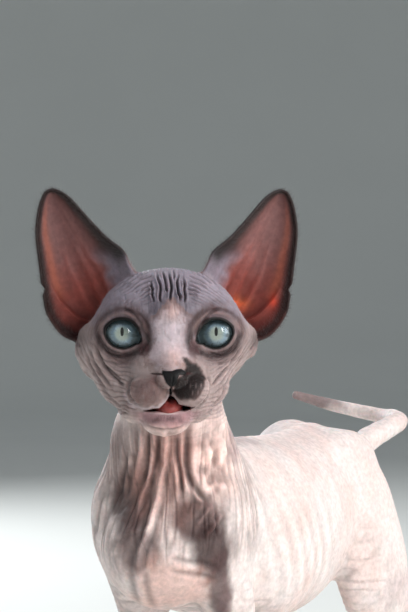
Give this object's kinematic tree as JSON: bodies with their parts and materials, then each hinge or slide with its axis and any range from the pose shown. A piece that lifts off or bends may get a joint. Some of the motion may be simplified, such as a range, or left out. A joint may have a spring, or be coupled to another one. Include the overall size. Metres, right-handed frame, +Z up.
{
  "type": "sphynx kitten, life-size standing model",
  "caption": "Hairless large-eared kitten standing on its paws, head turned to one side, mouth slightly open, thin tail held level and curved round behind.",
  "frame": {"origin": "on the floor, under the middle of the box that holds the whole kitten", "axes": "+X is the kitten's left, -Y is the way its body faces, +Z is up; the head is turned 34 degrees from -Y towards +X"},
  "size_m": [0.1066, 0.2894, 0.2593],
  "materials": {
    "skin": "bare, finely wrinkled skin with a fine down, pinkish white with grey-mauve patches",
    "ear_skin": "thin, slightly translucent skin, dark at the rims",
    "nose": "finely pebbled, slightly moist",
    "tongue": "moist",
    "eye": "wet and clear over a pale blue iris"
  },
  "bodies": {
    "root": {"ear_left": "ear_skin", "ear_right": "ear_skin", "eye_left": "eye", "eye_right": "eye", "fore_left_lower": "skin", "fore_left_paw": "skin", "fore_left_upper": "skin", "fore_right_lower": "skin", "fore_right_paw": "skin", "fore_right_upper": "skin", "head": "skin", "hind_left_paw": "skin", "hind_left_shank": "skin", "hind_left_thigh": "skin", "hind_right_paw": "skin", "hind_right_shank": "skin", "hind_right_thigh": "skin", "neck": "skin", "nose": "nose", "tail_base": "skin", "tail_middle": "skin", "tail_tip": "skin", "tongue": "tongue", "torso": "skin"}
  },
  "joints": []
}
